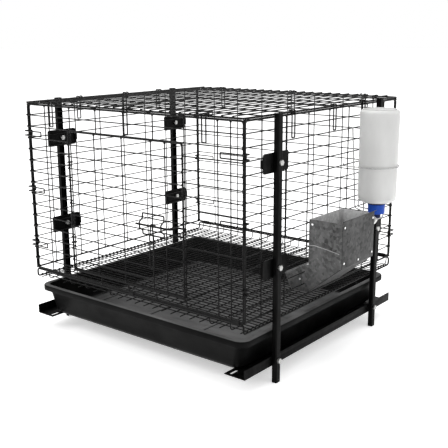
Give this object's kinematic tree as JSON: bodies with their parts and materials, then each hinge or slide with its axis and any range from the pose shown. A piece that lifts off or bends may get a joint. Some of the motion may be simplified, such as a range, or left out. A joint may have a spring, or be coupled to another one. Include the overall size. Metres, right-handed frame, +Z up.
{
  "type": "kennel cage",
  "caption": "Welded-wire cage on legs with a latched front door, hinged roof, slide-out tray, sheet-metal hopper feeder and hanging water bottle.",
  "frame": {"origin": "on the ground, under the middle of the whole object's bounding box", "axes": "+Z up; the door faces -Y; +X is towards the side that carries the feeder and the water bottle"},
  "size_m": [0.7236, 0.6134, 0.5365],
  "materials": {
    "coated_wire": "black dipped coating, satin",
    "powder_coat": "black powder coat, fine texture",
    "zinc": "bright zinc plate",
    "galvanised_sheet": "galvanised, spangled",
    "rivet": "plain",
    "galvanised_wire": "galvanised",
    "tray_plastic": "moulded, satin",
    "bottle_plastic": "frosted, translucent",
    "cap_plastic": "moulded",
    "seal_rubber": "plain",
    "stainless": "polished"
  },
  "bodies": {
    "cage": {"front_wall": "coated_wire", "back_wall": "coated_wire", "left_wall": "coated_wire", "right_wall": "coated_wire", "floor_panel": "coated_wire", "floor_crimps": "coated_wire", "door_hinge_rings": "coated_wire", "roof_hinge_clips": "coated_wire", "front_left_corner_clips": "coated_wire", "front_right_corner_clips": "coated_wire", "back_left_corner_clips": "coated_wire", "back_right_corner_clips": "coated_wire", "front_left_leg": "powder_coat", "front_right_leg": "powder_coat", "back_left_leg": "powder_coat", "back_right_leg": "powder_coat", "front_left_lower_bracket": "powder_coat", "front_left_upper_bracket": "powder_coat", "front_right_lower_bracket": "powder_coat", "front_right_upper_bracket": "powder_coat", "back_left_lower_bracket": "powder_coat", "back_left_upper_bracket": "powder_coat", "back_right_lower_bracket": "powder_coat", "back_right_upper_bracket": "powder_coat", "left_rail": "powder_coat", "right_rail": "powder_coat", "bracket_bolts": "zinc", "bracket_nuts": "zinc", "rail_bolts": "zinc", "rail_nuts": "zinc", "feeder_front_side": "galvanised_sheet", "feeder_back_side": "galvanised_sheet", "feeder_outer_panel": "galvanised_sheet", "feeder_inner_panel": "galvanised_sheet", "feeder_trough": "galvanised_sheet", "feeder_rivets": "rivet", "feeder_spring_wires": "galvanised_wire", "bottle_holder": "galvanised_wire", "bottle_band": "galvanised_wire"},
    "roof": {"roof_panel": "coated_wire", "right_back_clip": "coated_wire"},
    "door": {"door_panel": "coated_wire", "latch_guide": "coated_wire"},
    "bolt": {"latch_bolt": "coated_wire"},
    "handle": {"latch_handle": "coated_wire"},
    "tray": {"tray": "tray_plastic"},
    "water_bottle": {"bottle": "bottle_plastic", "bottle_cap": "cap_plastic", "cap_seal": "seal_rubber", "sipper_tube": "stainless", "sipper_ball": "stainless"},
    "front_left_clip": {"front_left_clip": "coated_wire"},
    "front_middle_clip": {"front_middle_clip": "coated_wire"},
    "front_right_clip": {"front_right_clip": "coated_wire"},
    "left_front_clip": {"left_front_clip": "coated_wire"},
    "left_middle_clip": {"left_middle_clip": "coated_wire"},
    "left_back_clip": {"left_back_clip": "coated_wire"},
    "right_front_clip": {"right_front_clip": "coated_wire"},
    "right_middle_clip": {"right_middle_clip": "coated_wire"}
  },
  "joints": [
    {"name": "door_hinge", "type": "hinge", "parent": "cage", "child": "door", "pos_m": [-0.20206, -0.29025, 0.324], "axis": [0, 0, -1], "range_deg": [0, 165]},
    {"name": "latch_slide", "type": "slide", "parent": "door", "child": "bolt", "axis": [1, 0, 0], "range_m": [-0.006, 0.0098]},
    {"name": "latch_handle_swing", "type": "hinge", "parent": "bolt", "child": "handle", "pos_m": [0.0515, -0.30115, 0.3081], "axis": [-1, 0, 0], "range_deg": [0, 100]},
    {"name": "roof_hinge", "type": "hinge", "parent": "cage", "child": "roof", "pos_m": [-0.0395, 0.29935, 0.5313], "axis": [-1, 0, 0], "range_deg": [0, 95]},
    {"name": "tray_slide", "type": "slide", "parent": "cage", "child": "tray", "axis": [0, -1, 0], "range_m": [0, 0.45]},
    {"name": "bottle_lift", "type": "slide", "parent": "cage", "child": "water_bottle", "axis": [0, 0, 1], "range_m": [0, 0.09]},
    {"name": "front_left_clip_swing", "type": "hinge", "parent": "roof", "child": "front_left_clip", "pos_m": [-0.2554, -0.28365, 0.5313], "axis": [-1, 0, 0], "range_deg": [0, 40]},
    {"name": "front_middle_clip_swing", "type": "hinge", "parent": "roof", "child": "front_middle_clip", "pos_m": [-0.0268, -0.28365, 0.5313], "axis": [-1, 0, 0], "range_deg": [0, 40]},
    {"name": "front_right_clip_swing", "type": "hinge", "parent": "roof", "child": "front_right_clip", "pos_m": [0.1764, -0.28365, 0.5313], "axis": [-1, 0, 0], "range_deg": [0, 40]},
    {"name": "left_front_clip_swing", "type": "hinge", "parent": "roof", "child": "left_front_clip", "pos_m": [-0.3423, -0.13185, 0.5313], "axis": [0, 1, 0], "range_deg": [0, 40]},
    {"name": "left_middle_clip_swing", "type": "hinge", "parent": "roof", "child": "left_middle_clip", "pos_m": [-0.3423, 0.02055, 0.5313], "axis": [0, 1, 0], "range_deg": [0, 40]},
    {"name": "left_back_clip_swing", "type": "hinge", "parent": "roof", "child": "left_back_clip", "pos_m": [-0.3423, 0.14125, 0.5313], "axis": [0, 1, 0], "range_deg": [0, 40]},
    {"name": "right_front_clip_swing", "type": "hinge", "parent": "roof", "child": "right_front_clip", "pos_m": [0.2633, -0.13185, 0.5313], "axis": [0, -1, 0], "range_deg": [0, 40]},
    {"name": "right_middle_clip_swing", "type": "hinge", "parent": "roof", "child": "right_middle_clip", "pos_m": [0.2633, 0.02055, 0.5313], "axis": [0, -1, 0], "range_deg": [0, 40]}
  ]
}
